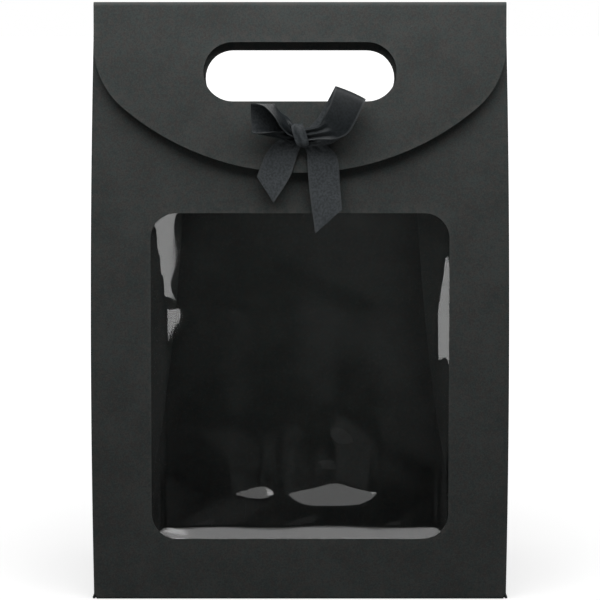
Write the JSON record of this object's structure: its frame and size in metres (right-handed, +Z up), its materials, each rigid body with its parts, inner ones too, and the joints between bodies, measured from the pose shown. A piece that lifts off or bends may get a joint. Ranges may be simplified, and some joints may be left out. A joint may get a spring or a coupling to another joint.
{
  "type": "gift box",
  "caption": "Wedge-shaped black card gift carrier with a clear front window, folding lid flap, hand hole, side gussets and a tied satin ribbon bow.",
  "frame": {"origin": "middle of the base, on the surface that it stands on", "axes": "+Z up, -Y the way the window and bow face, +X to the right seen from the front"},
  "size_m": [0.19, 0.09, 0.2701],
  "materials": {
    "black_card": "uncoated matte board, dyed black",
    "clear_film": "clear glossy film",
    "satin_ribbon": "black satin weave",
    "hook_and_loop": "napped hook-and-loop pile",
    "adhesive": "clear adhesive"
  },
  "bodies": {
    "base": {"base_front_flap": "black_card", "base_back_flap": "black_card", "base_left_flap": "black_card", "base_right_flap": "black_card"},
    "front_wall": {"front_panel": "black_card", "window_film": "clear_film", "window_glue": "adhesive", "closure_loop_dot": "hook_and_loop", "closure_loop_adhesive": "adhesive"},
    "back_wall": {"back_panel": "black_card", "side_seam_tab": "black_card"},
    "lid": {"lid_flap": "black_card", "closure_hook_dot": "hook_and_loop", "closure_hook_adhesive": "adhesive", "bow_glue_dot": "adhesive", "bow_knot": "satin_ribbon", "bow_left_loop": "satin_ribbon", "bow_right_loop": "satin_ribbon", "bow_left_tail": "satin_ribbon", "bow_right_tail": "satin_ribbon"},
    "left_foot": {"left_gusset_foot": "black_card"},
    "left_front_fold": {"left_front_gusset": "black_card"},
    "left_back_fold": {"left_back_gusset": "black_card"},
    "right_foot": {"right_gusset_foot": "black_card"},
    "right_front_fold": {"right_front_gusset": "black_card"},
    "right_back_fold": {"right_back_gusset": "black_card"}
  },
  "joints": [
    {"name": "lid_crease", "type": "hinge", "parent": "back_wall", "child": "lid", "pos_m": [0, 0.0028, 0.26839], "axis": [-1, 0, 0], "range_deg": [0, 200]},
    {"name": "front_wall_crease", "type": "hinge", "parent": "base", "child": "front_wall", "pos_m": [0, -0.0444, 0.0006], "axis": [1, 0, 0], "range_deg": [0, 9.1]},
    {"name": "back_wall_crease", "type": "hinge", "parent": "base", "child": "back_wall", "pos_m": [0, 0.0444, 0.0006], "axis": [-1, 0, 0], "range_deg": [0, 9.1]},
    {"name": "left_foot_crease", "type": "hinge", "parent": "base", "child": "left_foot", "pos_m": [-0.0944, 0, 0.0006], "axis": [0, -1, 0], "range_deg": [0, 9.9]},
    {"name": "left_front_edge_crease", "type": "hinge", "parent": "front_wall", "child": "left_front_fold", "pos_m": [-0.0944, -0.0444, 0.0006], "axis": [-0.6719, -0.7384, 0.057], "range_deg": [0, 13.4], "deforming": ["left_front_gusset"]},
    {"name": "left_back_edge_crease", "type": "hinge", "parent": "back_wall", "child": "left_back_fold", "pos_m": [-0.0944, 0.0444, 0.0006], "axis": [0.6719, -0.7384, -0.057], "range_deg": [0, 13.4], "deforming": ["left_back_gusset"]},
    {"name": "right_foot_crease", "type": "hinge", "parent": "base", "child": "right_foot", "pos_m": [0.0944, 0, 0.0006], "axis": [0, 1, 0], "range_deg": [0, 9.9]},
    {"name": "right_front_edge_crease", "type": "hinge", "parent": "front_wall", "child": "right_front_fold", "pos_m": [0.0944, -0.0444, 0.0006], "axis": [-0.6719, 0.7384, -0.057], "range_deg": [0, 13.4], "deforming": ["right_front_gusset"]},
    {"name": "right_back_edge_crease", "type": "hinge", "parent": "back_wall", "child": "right_back_fold", "pos_m": [0.0944, 0.0444, 0.0006], "axis": [0.6719, 0.7384, 0.057], "range_deg": [0, 13.4], "deforming": ["right_back_gusset"]}
  ],
  "couplings": [
    {"joint": "front_wall_crease", "follows": "lid_crease", "ratio": 0.044151},
    {"joint": "back_wall_crease", "follows": "lid_crease", "ratio": 0.044151},
    {"joint": "left_foot_crease", "follows": "lid_crease", "ratio": 0.0485},
    {"joint": "left_front_edge_crease", "follows": "lid_crease", "ratio": 0.065551},
    {"joint": "left_back_edge_crease", "follows": "lid_crease", "ratio": 0.065551},
    {"joint": "right_foot_crease", "follows": "lid_crease", "ratio": 0.0485},
    {"joint": "right_front_edge_crease", "follows": "lid_crease", "ratio": 0.065551},
    {"joint": "right_back_edge_crease", "follows": "lid_crease", "ratio": 0.065551}
  ]
}
